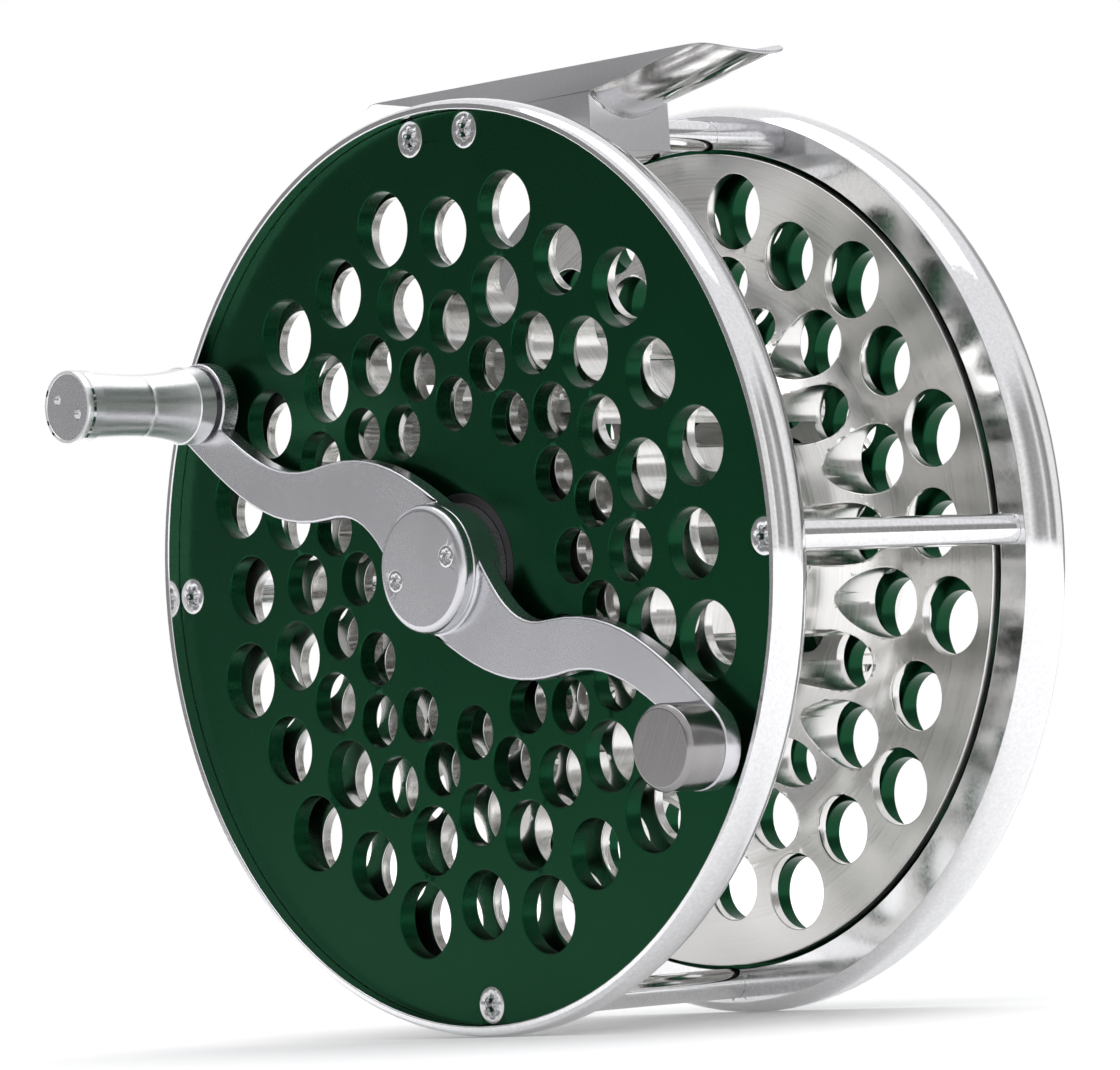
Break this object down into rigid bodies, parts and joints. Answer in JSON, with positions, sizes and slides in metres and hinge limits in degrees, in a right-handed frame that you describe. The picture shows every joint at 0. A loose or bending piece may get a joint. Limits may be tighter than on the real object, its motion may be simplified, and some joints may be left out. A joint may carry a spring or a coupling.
{
  "type": "fly reel",
  "caption": "Large-arbor salmon fly reel: drilled plates in polished rings, caged spool, S-shaped crank with counterweight, disc drag and click.",
  "frame": {"origin": "middle of the reel foot's saddle, on its lowest line", "axes": "+Z out of the saddle towards the rod, +X along the rod, -Y towards the crank; the spool's axis is parallel to Y, 53.4 mm under the origin"},
  "size_m": [0.1026, 0.0732, 0.1059],
  "materials": {
    "polished_aluminium": "mirror polished",
    "green_anodised": "dark green anodised, semi-gloss",
    "satin_aluminium": "bead-blasted satin",
    "brushed_aluminium": "turned, fine circular brushing",
    "crank_aluminium": "flat lapped faces with polished edges",
    "brushed_steel": "turned stainless steel",
    "bearing_steel": "ground steel",
    "stainless_screw": "bright stainless steel",
    "bronze": "bearing bronze",
    "black_seal": "black nitrile",
    "carbon_pad": "woven carbon friction pad"
  },
  "bodies": {
    "frame": {"front_ring": "polished_aluminium", "rear_ring": "polished_aluminium", "front_plate": "green_anodised", "back_plate": "green_anodised", "pillar_top_left": "polished_aluminium", "pillar_top_right": "polished_aluminium", "pillar_left": "polished_aluminium", "pillar_right": "polished_aluminium", "pillar_bottom": "polished_aluminium", "reel_foot": "satin_aluminium", "foot_screws": "stainless_screw", "front_plate_screws": "stainless_screw", "back_plate_screws": "stainless_screw", "front_seal_ring": "black_seal", "front_bearing_housing": "satin_aluminium", "front_bearing_outer_race": "bearing_steel", "rear_bearing_outer_race": "bearing_steel", "drag_housing": "satin_aluminium", "housing_screws": "stainless_screw", "drag_disc_inner": "carbon_pad", "knob_clip": "bearing_steel", "click_pawl_pin": "bearing_steel", "click_spring": "bearing_steel"},
    "spool_assembly": {"spool": "brushed_aluminium", "spool_front_flange": "brushed_aluminium", "spool_rear_flange": "brushed_aluminium", "spool_front_cove": "brushed_aluminium", "spool_rear_cove": "brushed_aluminium", "spool_hub": "brushed_aluminium", "spindle": "bearing_steel", "spool_key": "bearing_steel", "spindle_nut": "bearing_steel", "front_bearing_inner_race": "bearing_steel", "rear_bearing_inner_race": "bearing_steel", "crank_arm": "crank_aluminium", "hub_cap": "crank_aluminium", "hub_cap_screws": "stainless_screw", "counterweight": "brushed_steel", "counterweight_screw": "stainless_screw", "handle_post": "bearing_steel", "handle_post_screw": "stainless_screw", "drag_rotor": "bearing_steel"},
    "handle": {"handle_knob": "polished_aluminium", "handle_bushes": "bronze", "handle_end_cap": "polished_aluminium"},
    "front_balls": {"front_bearing_balls": "bearing_steel"},
    "rear_balls": {"rear_bearing_balls": "bearing_steel"},
    "drag_adjuster": {"drag_knob": "brushed_aluminium", "drag_knob_cap": "polished_aluminium"},
    "drag_pressure": {"pressure_plate": "satin_aluminium", "drag_disc_outer": "carbon_pad", "drag_spring": "bearing_steel"},
    "pawl": {"click_pawl": "bronze"}
  },
  "joints": [
    {"name": "spool_spin", "type": "hinge", "parent": "frame", "child": "spool_assembly", "pos_m": [0, 0, -0.05338], "axis": [0, 1, 0], "continuous": true},
    {"name": "handle_spin", "type": "hinge", "parent": "spool_assembly", "child": "handle", "pos_m": [-0.03966, -0.024, -0.03212], "axis": [0, 1, 0], "continuous": true},
    {"name": "front_balls_spin", "type": "hinge", "parent": "frame", "child": "front_balls", "pos_m": [0, -0.0167, -0.05338], "axis": [0, 1, 0], "continuous": true},
    {"name": "rear_balls_spin", "type": "hinge", "parent": "frame", "child": "rear_balls", "pos_m": [0, 0.0167, -0.05338], "axis": [0, 1, 0], "continuous": true},
    {"name": "drag_knob_turn", "type": "hinge", "parent": "frame", "child": "drag_adjuster", "pos_m": [0, 0.0255, -0.05338], "axis": [0, -1, 0], "range_deg": [0, 300]},
    {"name": "drag_press", "type": "slide", "parent": "frame", "child": "drag_pressure", "axis": [0, -1, 0], "range_m": [0, 0.0003]},
    {"name": "pawl_lift", "type": "hinge", "parent": "frame", "child": "pawl", "pos_m": [-0.0036, 0.0235, -0.04018], "axis": [0, -1, 0], "range_deg": [0, 8]}
  ],
  "couplings": [
    {"joint": "front_balls_spin", "follows": "spool_spin", "ratio": 0.42},
    {"joint": "rear_balls_spin", "follows": "spool_spin", "ratio": 0.42},
    {"joint": "drag_press", "follows": "drag_knob_turn", "m_per_rad": 0.0000572}
  ]
}
